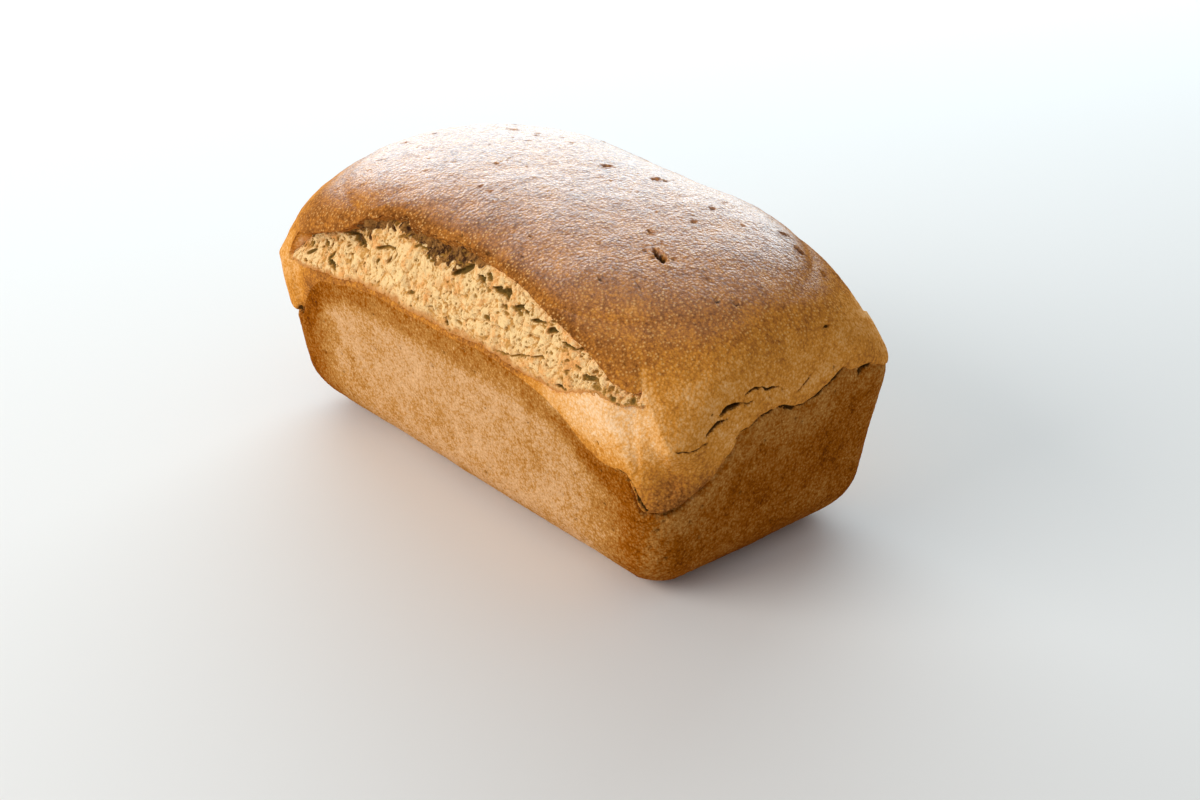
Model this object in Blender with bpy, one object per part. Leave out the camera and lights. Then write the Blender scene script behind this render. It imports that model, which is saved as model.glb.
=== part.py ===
"""Sourdough sandwich loaf, baked in a flared loaf tin: one solid.

Run with: blender --background --python part.py
Metres, +Z up, +X along the loaf, origin under the middle of its box.

Two lines run round the loaf. The crease is where the dough left the tin: it dips at the two -Y
corners, where the dough folded over low down. The seam is where the top crust parted from the
dough below it: along -Y it tore open, and the crumb lies back between the burst's foot and its lip.
"""

import math

import bmesh
import bpy
from mathutils import Vector, noise

MM = 0.001

# The tin's shape, which the loaf keeps up to the crease
BASE_HALF_LENGTH = 112.4 * MM
BASE_HALF_WIDTH = 53.8 * MM
WALL_FLARE = 0.12  # outward per unit of height
WALL_HEIGHT = 68 * MM
BASE_EDGE_RADIUS = 20 * MM
UPRIGHT_EDGE_RADIUS = 15 * MM

# The crown, which rose above the tin
LOAF_HEIGHT = 122 * MM
SHOULDER_HEIGHT = 114 * MM  # where the side grid meets the top grid
CROWN_OVERHANG = 1.2 * MM  # beyond the wall all round
CROWN_PLAN_RADIUS = 79 * MM  # the plan grows this round towards the top
LENGTH_FALL, LENGTH_HOLD = 2.32, 3.75  # exponents of the crown's end-to-end curve
WIDTH_FALL, WIDTH_HOLD = 2.74, 3.70  # exponents of its side-to-side curve
CROWN_WAVE = 1.4 * MM
CROWN_WAVE_LENGTH = 55 * MM

# Heights in mm of the two lines at stations in mm: along X on the two sides, along Y on the two ends
CREASE = {
    "-Y": [(-116, 43.5), (-107, 44), (-101, 50), (-92, 60), (-82, 67), (-60, 72), (-41, 74), (35, 74.5),
           (60, 71.5), (76, 65), (83, 60), (91, 57), (104, 56), (110, 50), (114, 43.5)],
    "+X": [(-58, 43), (-51, 44.5), (-45, 47), (-36, 50.5), (-29, 56), (-22, 65), (-9, 69.8), (-3, 70.5),
           (6, 67), (15, 68.5), (29, 75), (35, 73), (50, 70), (56, 67)],
    "-X": [(-58, 43.5), (-48, 46), (-38, 52), (-28, 60), (-15, 68), (0, 71), (46, 71)],
    "+Y": [(-116, 71), (90, 71), (102, 69), (114, 67)],
}
SEAM = {
    "-Y": [(-116, 74), (-106, 72), (-101, 78), (-96, 84), (-83, 88), (-68, 94), (-56, 103), (-46, 107),
           (-37, 108), (-11, 106.7), (8, 108.6), (39, 106.8), (52, 105.2), (67, 101.8), (83, 96.8),
           (93, 92), (103, 87.2), (109, 86.6), (114, 80)],
    "+X": [(-58, 72), (-46, 68), (-40, 70), (-29, 78.8), (-17, 82), (6, 75.5), (25, 83), (50, 88)],
    "-X": [(-58, 75), (-40, 80), (-10, 83), (20, 80), (50, 81)],
    "+Y": [(-116, 81), (-60, 79), (0, 82), (70, 80), (100, 82), (114, 87)],
}
BURST_FOOT = [(-104, 70.5), (-80, 71.2), (-60, 74.5), (-41, 77), (-26, 75.5), (22, 77.5), (69, 76),
              (78, 79), (86, 83), (107, 84), (114, 88)]
LINE_BLEND = 8 * MM  # either side of the corners' diagonals, a side's line passes into an end's
LINE_WANDER = 1.2 * MM
LINE_WANDER_LENGTH = 32 * MM

# The crease's groove and fold, the seam, and the band of dough between them
CREASE_DEPTH, FOLD_DEPTH = 1.2 * MM, 3.4 * MM
FOLD_DROOP = 1.4 * MM  # the dough sags over the fold this far
FOLD_NEAR, FOLD_FAR = 8 * MM, 30 * MM  # from a -Y corner, between these the fold fades out
SEAM_DEPTH = 1.2 * MM
BAND_BULGE, CORNER_BULGE = 1.0 * MM, 2.2 * MM
CORNER_BULGE_REACH = 46 * MM

# The burst along -Y
BURST_DEPTH = 4.5 * MM
BURST_OPENING = (0.3 * MM, 6 * MM)  # heights of the opening between which its depth sets in
LIP_RISE = 1.5 * MM
LIP_WIDTH = 9 * MM

# Grid counts: along the length, across the width, and up the side in four stages
COLUMNS, RANKS = 56, 22
EDGE_ROWS, WALL_ROWS, BAND_ROWS, SHOULDER_ROWS = 4, 5, 8, 5
ROWS = EDGE_ROWS + WALL_ROWS + BAND_ROWS + SHOULDER_ROWS

CRUST_BROWN = (0.36, 0.17, 0.06, 1.0)


def clear_scene():
    for obj in list(bpy.data.objects):
        bpy.data.objects.remove(obj)


def smoothstep(value, low, high):
    share = min(1.0, max(0.0, (value - low) / (high - low)))
    return share * share * (3 - 2 * share)


def mix(start, end, share):
    return start + (end - start) * share


def ring_point(across, half_length, half_width, corner):
    """The rounded rectangle's point that a point on the outline of the square from -1 to 1 becomes."""
    corner = min(corner, half_length, half_width)
    spot = Vector((across[0] * half_length, across[1] * half_width))
    middle = Vector(
        (
            math.copysign(half_length - corner, spot.x),
            math.copysign(half_width - corner, spot.y),
        )
    )
    if abs(spot.x) > abs(middle.x) and abs(spot.y) > abs(middle.y):
        spot = middle + (spot - middle).normalized() * corner
    return spot


def ring_sizes(height):
    """Half length, half width and corner radius of the loaf's level outline at a height."""
    if height <= WALL_HEIGHT:
        edge = max(0.0, BASE_EDGE_RADIUS - height)
        inset = BASE_EDGE_RADIUS - math.sqrt(BASE_EDGE_RADIUS**2 - edge**2)
        spread = (WALL_FLARE + CROWN_OVERHANG / WALL_HEIGHT) * height - inset
        radius = UPRIGHT_EDGE_RADIUS - 0.5 * inset
        return BASE_HALF_LENGTH + spread, BASE_HALF_WIDTH + spread, radius
    share = (height - WALL_HEIGHT) / (LOAF_HEIGHT - WALL_HEIGHT)
    spread = WALL_FLARE * WALL_HEIGHT + CROWN_OVERHANG
    return (
        (BASE_HALF_LENGTH + spread) * (1 - share**LENGTH_HOLD) ** (1 / LENGTH_FALL),
        (BASE_HALF_WIDTH + spread) * (1 - share**WIDTH_HOLD) ** (1 / WIDTH_FALL),
        mix(UPRIGHT_EDGE_RADIUS, CROWN_PLAN_RADIUS, share),
    )


def rim_gaps(spot):
    """How far inside the ends and inside the sides of the rim a spot of it lies."""
    half_length, half_width, _ = ring_sizes(WALL_HEIGHT)
    return half_length - abs(spot.x), half_width - abs(spot.y)


def corner_share(spot):
    """1 at the two -Y corners of the rim, falling to 0 along it at CORNER_BULGE_REACH."""
    if spot.y > 0:
        return 0.0
    return 1 - smoothstep(sum(rim_gaps(spot)), FOLD_NEAR, CORNER_BULGE_REACH)


def fold_share(spot):
    """1 round the two -Y corners of the rim, where the dough folded over, and 0 elsewhere."""
    if spot.y > 0:
        return 0.0
    return 1 - smoothstep(math.hypot(*rim_gaps(spot)), FOLD_NEAR, FOLD_FAR)


def height_at(stations, place):
    """Height in metres at a place, on straight lines between stations given in mm."""
    place = min(max(place / MM, stations[0][0]), stations[-1][0])
    for (start, low), (end, high) in zip(stations, stations[1:]):
        if place <= end:
            return mix(low, high, (place - start) / (end - start)) * MM
    return stations[-1][1] * MM


def height_round(line, spot):
    """Height of the crease or the seam above a spot of the rim."""
    from_end, from_side = rim_gaps(spot)
    side = height_at(line["-Y" if spot.y < 0 else "+Y"], spot.x)
    end = height_at(line["-X" if spot.x < 0 else "+X"], spot.y)
    return mix(side, end, smoothstep(from_side - from_end, -LINE_BLEND, LINE_BLEND))


def line_heights(spot):
    """Heights of the crease, the seam and the burst's foot, and the burst's opening from 0 to 1."""
    wander = LINE_WANDER * noise.noise(spot.to_3d() / LINE_WANDER_LENGTH)
    crease, seam = (height_round(line, spot) + wander for line in (CREASE, SEAM))
    foot = height_at(BURST_FOOT, spot.x) + wander
    on_side = spot.y < 0 and rim_gaps(spot)[1] < UPRIGHT_EDGE_RADIUS
    return crease, seam, foot, smoothstep(seam - foot, *BURST_OPENING) if on_side else 0.0


def side_place(row, spot):
    """Height of a row of the side above a spot of the rim, and its share of the way from the
    crease to the seam (below 0 on the wall, above 1 on the shoulder)."""
    crease, seam, _, _ = line_heights(spot)
    if row <= EDGE_ROWS:
        turn = 0.5 * math.pi * row / EDGE_ROWS
        return BASE_EDGE_RADIUS * (1 - math.cos(turn)), -1.0
    row -= EDGE_ROWS
    if row < WALL_ROWS:
        share = 1 - (1 - row / WALL_ROWS) ** 1.5
        return mix(BASE_EDGE_RADIUS, crease, share), share - 1
    row -= WALL_ROWS
    if row <= BAND_ROWS:
        share = 0.5 - 0.5 * math.cos(math.pi * row / BAND_ROWS)
        return mix(crease, seam, share), share
    share = ((row - BAND_ROWS) / SHOULDER_ROWS) ** 1.2
    return mix(seam, SHOULDER_HEIGHT, share), 1 + share


def side_droop(spot, share):
    """How far the dough just over the fold hangs down, closing it to a slit."""
    if not 0 < share < 0.4:
        return 0.0
    opened = line_heights(spot)[3]
    return FOLD_DROOP * fold_share(spot) * (1 - opened) * (1 - smoothstep(share, 0.0, 0.4))


def side_offset(spot, height, share):
    """How far out from the plain shape the side lies: crease, band, burst, lip and seam."""
    crease, seam, foot, opened = line_heights(spot)
    corner = corner_share(spot)
    if share < 0:
        return 0.0
    if share == 0:
        return -mix(CREASE_DEPTH, FOLD_DEPTH, fold_share(spot)) * (1 - opened)
    if share < 1:
        swell = math.sin(math.pi * share**0.6)
        swell *= mix(BAND_BULGE, CORNER_BULGE, corner) * (1 - opened)
        above_foot = smoothstep(height, foot - 1 * MM, mix(foot, seam, 0.6) + 1 * MM)
        return swell - BURST_DEPTH * opened * above_foot
    lip = LIP_RISE * opened * (1 - smoothstep(height, seam, seam + LIP_WIDTH))
    parting = SEAM_DEPTH * (1 - opened) * (1 - corner) if share == 1 else 0.0
    return lip - parting


def top_point(u, v):
    """The top grid: rings from the middle of the crown out to the shoulder."""
    reach = max(abs(u), abs(v))
    if reach < 1e-6:
        return Vector((0, 0, LOAF_HEIGHT))
    shoulder = (SHOULDER_HEIGHT - WALL_HEIGHT) / (LOAF_HEIGHT - WALL_HEIGHT)
    edge = (1 - shoulder**LENGTH_HOLD) ** (1 / LENGTH_FALL)
    share = (1 - (edge * reach) ** LENGTH_FALL) ** (1 / LENGTH_HOLD)
    height = mix(WALL_HEIGHT, LOAF_HEIGHT, share)
    point = ring_point((u / reach, v / reach), *ring_sizes(height)).to_3d()
    point.z = height
    return point


def base_point(u, v):
    """The flat base: rings shrinking to its middle."""
    reach = max(abs(u), abs(v))
    if reach < 1e-6:
        return Vector((0, 0, 0))
    return (ring_point((u / reach, v / reach), *ring_sizes(0)) * reach).to_3d()


def cube_grid():
    """A closed cube from -1 to 1, divided evenly along each of its three directions."""
    bm = bmesh.new()
    bmesh.ops.create_cube(bm, size=2)
    for axis, count in enumerate((COLUMNS, RANKS, ROWS)):
        along = [
            edge
            for edge in bm.edges
            if abs(edge.verts[0].co[axis] - edge.verts[1].co[axis]) > 1.5
        ]
        bmesh.ops.subdivide_edges(bm, edges=along, cuts=count - 1, use_grid_fill=True)
    return bm


def shape_loaf(bm):
    """Wraps the cube's grid onto the plain loaf, then moves it out or in by its features."""
    offsets = []
    for vert in bm.verts:
        u, v, w = vert.co
        offset = 0.0
        if w > 1 - 1e-6:
            vert.co = top_point(u, v)
        elif w < -1 + 1e-6:
            vert.co = base_point(u, v)
        else:
            spot = ring_point((u, v), *ring_sizes(WALL_HEIGHT))
            height, share = side_place(round((w + 1) / 2 * ROWS), spot)
            vert.co = ring_point((u, v), *ring_sizes(height)).to_3d()
            vert.co.z = height - side_droop(spot, share)
            offset = side_offset(spot, height, share)
        rise = smoothstep(vert.co.z, WALL_HEIGHT, LOAF_HEIGHT)
        offset += CROWN_WAVE * rise * noise.noise(vert.co / CROWN_WAVE_LENGTH)
        offsets.append(offset)
    bm.normal_update()
    for vert, offset in zip(bm.verts, offsets):
        vert.co += vert.normal * offset


def centre(bm):
    """Moves the mesh so that its box stands centred over the origin."""
    low = Vector(min(vert.co[i] for vert in bm.verts) for i in range(3))
    high = Vector(max(vert.co[i] for vert in bm.verts) for i in range(3))
    shift = Vector((-(low.x + high.x) / 2, -(low.y + high.y) / 2, -low.z))
    bmesh.ops.translate(bm, verts=bm.verts[:], vec=shift)


def make_loaf(collection):
    bm = cube_grid()
    base = [face for face in bm.faces if face.normal.z < -0.5]
    shape_loaf(bm)
    bmesh.ops.dissolve_faces(bm, faces=base)
    centre(bm)
    bmesh.ops.recalc_face_normals(bm, faces=bm.faces[:])
    mesh = bpy.data.meshes.new("loaf")
    bm.to_mesh(mesh)
    bm.free()
    mesh.shade_smooth()
    loaf = bpy.data.objects.new("loaf", mesh)
    collection.objects.link(loaf)
    return loaf


def crust_material():
    material = bpy.data.materials.new("crust")
    material.use_nodes = True
    shader = material.node_tree.nodes["Principled BSDF"]
    shader.inputs["Base Color"].default_value = CRUST_BROWN
    shader.inputs["Roughness"].default_value = 0.65
    shader.inputs["Metallic"].default_value = 0.0
    return material


def main():
    clear_scene()
    collection = bpy.data.collections.new("sourdough_sandwich_loaf")
    bpy.context.scene.collection.children.link(collection)
    loaf = make_loaf(collection)
    loaf.data.materials.append(crust_material())


main()
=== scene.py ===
import math
import random

import bmesh
import bpy
import numpy as np
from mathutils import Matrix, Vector, kdtree, noise


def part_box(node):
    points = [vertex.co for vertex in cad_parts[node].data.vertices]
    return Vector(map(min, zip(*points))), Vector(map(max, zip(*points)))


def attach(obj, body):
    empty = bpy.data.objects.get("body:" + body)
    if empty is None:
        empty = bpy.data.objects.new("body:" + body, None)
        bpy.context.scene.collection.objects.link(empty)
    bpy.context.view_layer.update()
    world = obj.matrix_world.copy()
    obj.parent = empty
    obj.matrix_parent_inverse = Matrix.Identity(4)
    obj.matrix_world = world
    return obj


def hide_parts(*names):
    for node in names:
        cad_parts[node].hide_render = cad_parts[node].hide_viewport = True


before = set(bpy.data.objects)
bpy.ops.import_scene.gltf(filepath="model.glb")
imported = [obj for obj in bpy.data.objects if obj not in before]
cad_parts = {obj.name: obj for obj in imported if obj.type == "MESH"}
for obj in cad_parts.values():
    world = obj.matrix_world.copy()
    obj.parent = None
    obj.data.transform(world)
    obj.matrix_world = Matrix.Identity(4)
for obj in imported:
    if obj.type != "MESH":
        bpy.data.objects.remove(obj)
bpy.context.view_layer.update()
low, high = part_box("loaf")
mm = 0.001


def smooth(value, start, end):
    share = np.clip((value - start) / (end - start), 0, 1)
    return share * share * (3 - 2 * share)


def mix(start, end, share):
    return start + (end - start) * share


def bell(value, middle, width):
    return np.exp(-(((value - middle) / width) ** 2))


def wobble(points, size, octaves=3, seed=0.0):
    # layered noise, about -1 to 1, for each point
    spots = (points / size + seed).tolist()
    return np.array([noise.fractal(spot, 1.0, 2.0, octaves) for spot in spots])


# form of the loaf in metres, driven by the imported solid's box
form = {
    "baseHalfLength": high.x - 10.55 * mm,
    "baseHalfWidth": high.y - 10.5 * mm,
    "middleX": 0.1 * mm, "middleY": 0.13 * mm,
    "flare": 0.1376,            # wall leans out per unit of height
    "wallHeight": 68 * mm,
    "height": high.z - 0.47 * mm,
    "shoulder": 114 * mm,
    "edgeRadius": 20 * mm,
    "uprightRadius": 15 * mm,
    "crownRadius": 79 * mm,
    "lengthFall": 2.32, "lengthHold": 3.75,
    "widthFall": 2.74, "widthHold": 3.70,
    "cornerRound": 12 * mm,     # added to the radius at the +X fold, between crease and seam
    "crownWave": 1.4 * mm, "crownWaveLength": 55 * mm,
}

# heights in mm of the crease left by the tin's rim and of the seam where the top crust parted,
# at stations in mm along each side and end, and of the foot of the burst between them
lines = {
    "sideCrease": [(-116, 43.5), (-107, 44), (-101, 50), (-92, 60), (-82, 67), (-70, 70), (-60, 72),
                   (-41, 74.5), (-26, 73.5), (6, 74), (22, 75.5), (35, 75), (50, 73), (60, 71.5),
                   (70, 68.7), (76, 65), (83, 60), (91, 57), (102, 56.5), (107, 55), (110, 50),
                   (112, 44.5), (114, 42.5)],
    "endCrease": [(-58, 42), (-55, 42.3), (-51.8, 43.8), (-45, 47), (-36.8, 50), (-30.5, 54.5),
                  (-25.5, 59.5), (-23.5, 65.5), (-17.8, 67), (-13, 69.5), (-8.8, 69.8), (-2.8, 70.5),
                  (3.8, 67.5), (9, 66.8), (15, 68.2), (22.2, 70.8), (29.5, 75.5), (34, 73),
                  (42.8, 72.2), (50, 70), (56, 66)],
    "farCrease": [(-58, 43.5), (-48, 46), (-38, 52), (-28, 60), (-15, 68), (0, 71), (46, 71)],
    "backCrease": [(-116, 71), (90, 71), (102, 69), (114, 66)],
    "sideSeam": [(-116, 74), (-106, 71), (-103.5, 73.5), (-101.5, 78), (-97, 83.5), (-83, 88),
                 (-68.5, 93.8), (-60, 99.4), (-56, 103.2), (-46, 107), (-37, 108.2), (-29, 107.4),
                 (-11, 106.7), (2.5, 108.8), (13.5, 108.4), (26.5, 107.4), (39, 106.8), (52, 105.2),
                 (67, 101.8), (75, 99.6), (83, 96.8), (93, 92), (98, 88.7), (103, 87.4), (107, 86.8),
                 (110, 87.3), (112, 88.6), (114, 88)],
    "endSeam": [(-58, 72), (-52, 69.5), (-46, 68), (-40, 70), (-34, 75), (-29, 78.8), (-23, 79.5),
                (-17, 82), (-10, 80), (-5, 79), (1, 77), (6, 75.5), (12, 78), (25, 83), (40, 86.5),
                (50, 88)],
    "farSeam": [(-58, 75), (-40, 80), (-10, 83), (20, 80), (50, 81)],
    "backSeam": [(-116, 81), (-60, 79), (0, 82), (70, 80), (100, 82), (114, 87)],
    "foot": [(-104, 70.5), (-93, 70), (-80, 71.2), (-72, 72), (-60, 74.5), (-41.5, 77), (-26, 75.5),
             (6, 76), (22.5, 77.8), (34.5, 77), (46.5, 76), (58, 75.8), (69, 76), (78, 79), (86, 82.5),
             (93, 83.8), (101, 82.6), (107, 83), (110.5, 85), (112.5, 88.2), (114, 90)],
    "wander": 1.4 * mm, "wanderLength": 26 * mm,
    "fraySize": 4.5 * mm, "creaseFray": 0.35 * mm, "ragged": 1.2 * mm, "footFray": 0.9 * mm,
}


def ringSizes(z):
    # half length, half width and corner radius of the level outline at a height
    edge = np.clip(form["edgeRadius"] - z, 0, None)
    inset = form["edgeRadius"] - np.sqrt(form["edgeRadius"] ** 2 - edge ** 2)
    spread = form["flare"] * np.minimum(z, form["wallHeight"]) - inset
    rise = np.clip((z - form["wallHeight"]) / (form["height"] - form["wallHeight"]), 0, 1)
    lengthShare = (1 - rise ** form["lengthHold"]) ** (1 / form["lengthFall"])
    widthShare = (1 - rise ** form["widthHold"]) ** (1 / form["widthFall"])
    length = (form["baseHalfLength"] + spread) * lengthShare
    width = (form["baseHalfWidth"] + spread) * widthShare
    corner = mix(form["uprightRadius"] - 0.5 * inset, form["crownRadius"], rise)
    return length, width, np.minimum(corner, np.minimum(length, width))


def outline(u, v, length, width, corner):
    # the rounded rectangle's point for a point on the outline of the square from -1 to 1
    x, y = u * length, v * width
    middleX, middleY = np.sign(u) * (length - corner), np.sign(v) * (width - corner)
    dx, dy = x - middleX, y - middleY
    spoke = np.maximum(np.hypot(dx, dy), 1e-12)
    rounded = (np.abs(x) > np.abs(middleX)) & (np.abs(y) > np.abs(middleY))
    x = np.where(rounded, middleX + dx / spoke * corner, x)
    y = np.where(rounded, middleY + dy / spoke * corner, y)
    return x, y


rimLength, rimWidth, _ = ringSizes(np.array(form["wallHeight"]))


def cornerShare(x, y):
    # 1 at the two -Y corners of the rim, falling to 0 along it
    fromEnd, fromSide = rimLength - np.abs(x), rimWidth + y
    return 1 - smooth(fromEnd + fromSide, 8 * mm, 46 * mm)


def along(name, place):
    stations, heights = np.array(lines[name]).T
    return np.interp(place / mm, stations, heights) * mm


def around(ending, x, y):
    # a line's height round the rim, from its stations along each side
    toEnd = smooth((rimWidth - np.abs(y)) - (rimLength - np.abs(x)), -8 * mm, 8 * mm)
    side = np.where(y < 0, along("side" + ending, x), along("back" + ending, x))
    end = np.where(x > 0, along("end" + ending, y), along("far" + ending, y))
    return mix(side, end, toEnd)


def lineHeights(x, y):
    # crease, seam and foot of the burst above a spot of the rim, how far the burst is open there,
    # and the seam without its ragged edge
    spots = np.stack([x, y, 0 * x], 1)
    onSide = y < -(rimWidth - form["uprightRadius"])
    hidden = mix(0.25, 1.0, smooth(y, 20 * mm, 60 * mm))
    wander = lines["wander"] * hidden * wobble(spots, lines["wanderLength"], 2, 0.0)
    fray = wobble(spots, lines["fraySize"], 3, 9.4)
    crease = around("Crease", x, y) + wander + lines["creaseFray"] * fray
    torn = smooth(x, -70 * mm, -60 * mm) * (1 - smooth(x, -20 * mm, 0 * mm))
    lip = around("Seam", x, y) + wander * 0.7
    seam = lip + lines["ragged"] * mix(0.3, 1.0, torn) * fray
    seam += onSide * mix(0.25, 0.9, torn) * mm * wobble(spots, 1.6 * mm, 2, 3.1)
    foot = along("foot", x) + wander + lines["footFray"] * wobble(spots, 6 * mm, 3, 2.2)
    opened = smooth(seam - foot, 0.3 * mm, 6 * mm) * onSide * smooth(x, -108 * mm, -99 * mm)
    return crease, seam, foot, opened, lip


# crust: one fine grid over the whole loaf, parted at the crease into crown and tin-baked walls
crust = {
    "columns": 222, "ranks": 116,
    "edgeRows": 12, "wallRows": 66, "bandRows": 32, "shoulderRows": 34,
    "foldDepth": 3.6 * mm, "foldWidths": (0.8 * mm, 1.6 * mm), "cornerDroop": 1.4 * mm,
    "grooveDepth": 0.8 * mm, "grooveWidth": 1.8 * mm,
    "bandBulge": 0.6 * mm, "cornerBulge": 1.5 * mm,
    "lipRise": 1.5 * mm, "lipWidth": 9 * mm,
    "backStep": 0.9 * mm, "backSwell": 0.3 * mm,
    "pocket": 9.5 * mm,
    "wallRelief": (0.25, 0.10), "crownRelief": (0.38, 0.14), "fineRelief": 0.1,   # mm, coarse and middle
    "wallPits": {"count": 1500, "sizes": (0.5, 1.5), "depth": 0.45, "seed": 3},
    "crownPits": {"count": 260, "sizes": (0.5, 1.3), "depth": 0.6, "seed": 5},
    "cutLift": 1.5 * mm, "cutShrink": (0.93, 0.88),
}
crust["rows"] = crust["edgeRows"] + crust["wallRows"] + crust["bandRows"] + crust["shoulderRows"]
crust["creaseRow"] = crust["edgeRows"] + crust["wallRows"]


def cubeGrid(counts):
    bm = bmesh.new()
    bmesh.ops.create_cube(bm, size=2)
    for axis, count in enumerate(counts):
        lengthwise = [e for e in bm.edges if abs(e.verts[0].co[axis] - e.verts[1].co[axis]) > 1.5]
        bmesh.ops.subdivide_edges(bm, edges=lengthwise, cuts=count - 1, use_grid_fill=True)
    return bm


def meshArray(mesh, field="co"):
    values = np.empty(len(mesh.vertices) * 3, np.float32)
    mesh.vertices.foreach_get(field, values)
    return values.reshape(-1, 3).astype(float)


def setPlaces(mesh, places):
    mesh.vertices.foreach_set("co", places.astype(np.float32).ravel())
    mesh.update()


def wrapLoaf(cube):
    # where each point of the cube goes on the plain loaf, with what its features need to know
    u, v, w = cube.T
    reach = np.maximum(np.abs(u), np.abs(v))
    safe = np.maximum(reach, 1e-9)
    onTop, onBase = w > 1 - 1e-6, w < -1 + 1e-6
    spotX, spotY = outline(u / safe, v / safe, *ringSizes(np.full(len(u), form["wallHeight"])))
    crease, seam, foot, opened, lip = lineHeights(spotX, spotY)
    row = (w + 1) / 2 * crust["rows"]
    edge = row / crust["edgeRows"]
    wall = (row - crust["edgeRows"]) / crust["wallRows"]
    band = (row - crust["creaseRow"]) / crust["bandRows"]
    shoulder = (row - crust["creaseRow"] - crust["bandRows"]) / crust["shoulderRows"]
    bandShare = 0.5 * band + 0.25 - 0.25 * np.cos(np.pi * np.clip(band, 0, 1))
    # share: -1 to 0 up the wall, 0 to 1 from crease to seam, 1 to 2 from seam to shoulder
    share = np.select([edge <= 1, wall <= 1, band <= 1], [-1.0 + 0 * w, wall - 1, bandShare],
                      1 + np.clip(shoulder, 0, 1) ** 1.2)
    z = np.select(
        [edge <= 1, share <= 0, share <= 1],
        [form["edgeRadius"] * (1 - np.cos(0.5 * np.pi * np.clip(edge, 0, 1))),
         mix(form["edgeRadius"], crease, 1 - (1 - np.clip(wall, 0, 1)) ** 1.2),
         mix(crease, seam, share)],
        mix(seam, form["shoulder"], share - 1))
    # the top grid runs from the middle of the crown out to the shoulder
    span = form["height"] - form["wallHeight"]
    shoulderRise = (form["shoulder"] - form["wallHeight"]) / span
    rim = (1 - shoulderRise ** form["lengthHold"]) ** (1 / form["lengthFall"])
    topRise = (1 - (rim * reach) ** form["lengthFall"]) ** (1 / form["lengthHold"])
    z = np.where(onTop, form["wallHeight"] + span * topRise, z)
    z = np.where(onBase, 0, z)
    length, width, cornerRadius = ringSizes(z)
    soft = smooth(share, 0.12, 0.45) * (1 - smooth(share, 0.6, 1.0)) * cornerShare(spotX, spotY)
    soft *= smooth(spotX, 0, 60 * mm)
    x, y = outline(u / safe, v / safe, length, width, cornerRadius + form["cornerRound"] * soft)
    x, y = np.where(onBase, x * reach, x), np.where(onBase, y * reach, y)
    centre = onTop & (reach < 1e-6)
    x, y = np.where(centre, 0, x), np.where(centre, 0, y)
    places = np.stack([x, y, z], 1)
    return places, {
        "spotX": spotX, "spotY": spotY, "crease": crease, "seam": seam, "foot": foot,
        "share": np.where(onTop, 2.0, np.where(onBase, -2.0, share)),
        "corner": cornerShare(spotX, spotY), "opened": opened, "lip": lip, "row": row,
    }


# slits in the sides, in mm: the side they are on, their course as (place along it, height),
# half width and depth
slits = [
    {"side": "end", "course": [(-52.5, 69.2), (-49, 68.6), (-46.8, 67.4), (-42.5, 68), (-39, 68.6)],
     "width": 0.55, "depth": 1.4},
    {"side": "end", "course": [(-39, 71.4), (-36.8, 73), (-34, 74.6), (-30.8, 74.4)],
     "width": 0.9, "depth": 2.4},
    {"side": "end", "course": [(-32.5, 77.2), (-29.2, 78.8), (-26.2, 79), (-23, 78.6)],
     "width": 1.25, "depth": 3.2},
    {"side": "end", "course": [(-23, 78.4), (-20, 77.6), (-15, 77.4)], "width": 0.4, "depth": 0.9},
    {"side": "end", "course": [(-21, 80.8), (-17.2, 82.2), (-15.2, 82.2), (-10.2, 80.2), (-4, 79)],
     "width": 0.55, "depth": 1.3},
    {"side": "end", "course": [(5.5, 74), (9, 76), (12.5, 78.4)], "width": 0.5, "depth": 1.0},
    {"side": "end", "course": [(-33, 52.6), (-30.5, 54.8), (-26, 59)], "width": 0.8, "depth": 1.8},
    {"side": "end", "course": [(-25.2, 66), (-21, 67.2), (-17.8, 67.2)], "width": 0.8, "depth": 1.4},
    {"side": "end", "course": [(-18, 67.2), (-13, 69.6), (-8.8, 70), (-6.5, 70.4)],
     "width": 1.0, "depth": 2.4},
    {"side": "end", "course": [(-3, 70.6), (3.8, 67.7), (9, 67)], "width": 0.8, "depth": 1.4},
    {"side": "end", "course": [(9, 67), (15, 68.4), (22.2, 71), (29.5, 75.6)],
     "width": 1.0, "depth": 2.2},
    {"side": "end", "course": [(37.5, 70.6), (40, 72), (44, 72.6)], "width": 1.2, "depth": 2.2},
    {"side": "end", "course": [(-54, 43), (-50.5, 44.8), (-46, 46.8)], "width": 1.6, "depth": 2.4},
    {"side": "side", "course": [(100.5, 57.4), (104, 57), (107, 55.8), (110, 50.6), (112, 45.5)],
     "width": 0.8, "depth": 1.6},
    {"side": "side", "course": [(-106.5, 44), (-102, 48.8)], "width": 1.0, "depth": 1.8},
    {"side": "far", "course": [(-40, 51), (-28, 60.5), (-15, 68), (-4, 70.6)], "width": 0.9, "depth": 1.8},
    {"side": "far", "course": [(8, 70.6), (22, 71.4), (44, 70.8)], "width": 0.7, "depth": 1.3},
    {"side": "far", "course": [(-22, 82.6), (-8, 83.4), (10, 80.8)], "width": 0.7, "depth": 1.9},
    {"side": "back", "course": [(-100, 71.2), (-72, 71.8), (-40, 70.6), (-22, 71.4)],
     "width": 0.8, "depth": 1.4},
    {"side": "back", "course": [(-8, 70.6), (20, 71.6), (58, 70.8)], "width": 0.8, "depth": 1.6},
    {"side": "back", "course": [(70, 71.2), (92, 70.6), (108, 68)], "width": 0.7, "depth": 1.3},
    {"side": "back", "course": [(-55, 79.6), (-34, 81.2), (-14, 81)], "width": 0.7, "depth": 1.8},
    {"side": "back", "course": [(30, 82), (44, 80.4), (58, 81.4)], "width": 0.6, "depth": 1.4},
]

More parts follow.
